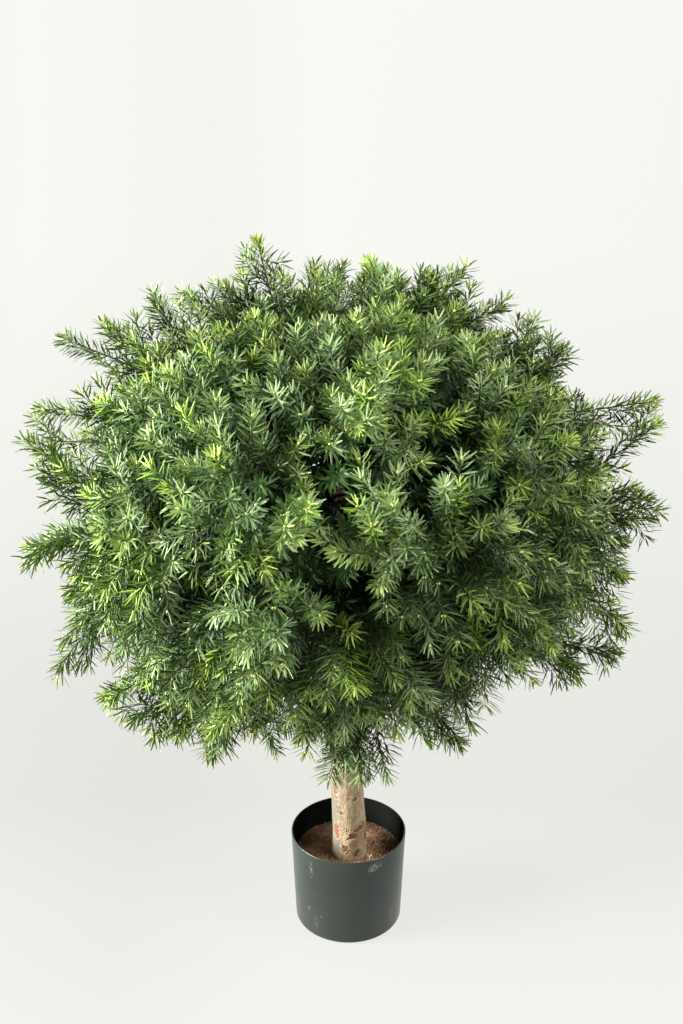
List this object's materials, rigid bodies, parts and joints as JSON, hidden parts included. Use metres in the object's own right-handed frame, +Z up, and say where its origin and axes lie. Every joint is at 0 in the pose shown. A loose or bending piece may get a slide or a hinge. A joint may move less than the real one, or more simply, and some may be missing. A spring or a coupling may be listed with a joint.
{
  "type": "artificial ball topiary tree",
  "caption": "Artificial ball-headed topiary tree: yew-like needle foliage on a bark-covered wooden stem, in a plain dark plastic pot.",
  "frame": {"origin": "middle of the pot's flat underside, on the surface the tree stands on", "axes": "+Z up along the stem, -Y toward the viewer, +X to the viewer's right"},
  "size_m": [0.9826, 0.9844, 1.2094],
  "materials": {
    "pot": "satin",
    "fill": "matte",
    "bark": "matte",
    "foliage": "satin"
  },
  "bodies": {
    "root": {"pot": "pot", "fill": "fill", "trunk": "bark", "bough_01": "bark", "bough_02": "bark", "bough_03": "bark", "bough_04": "bark", "bough_05": "bark", "bough_06": "bark", "bough_07": "bark", "bough_08": "bark", "bough_09": "bark", "bough_10": "bark", "bough_11": "bark", "bough_12": "bark", "bough_13": "bark", "bough_14": "bark", "bough_15": "bark", "bough_16": "bark", "bough_17": "bark", "bough_18": "bark", "bough_19": "bark", "bough_20": "bark", "bough_21": "bark", "bough_22": "bark", "bough_23": "bark", "bough_24": "bark", "foliage_01": "foliage", "foliage_02": "foliage", "foliage_03": "foliage", "foliage_04": "foliage", "foliage_05": "foliage", "foliage_06": "foliage", "foliage_07": "foliage", "foliage_08": "foliage", "foliage_09": "foliage", "foliage_10": "foliage", "foliage_11": "foliage", "foliage_12": "foliage", "foliage_13": "foliage", "foliage_14": "foliage", "foliage_15": "foliage", "foliage_16": "foliage", "foliage_17": "foliage", "foliage_18": "foliage", "foliage_19": "foliage", "foliage_20": "foliage", "foliage_21": "foliage", "foliage_22": "foliage", "foliage_23": "foliage", "foliage_24": "foliage"}
  },
  "joints": []
}
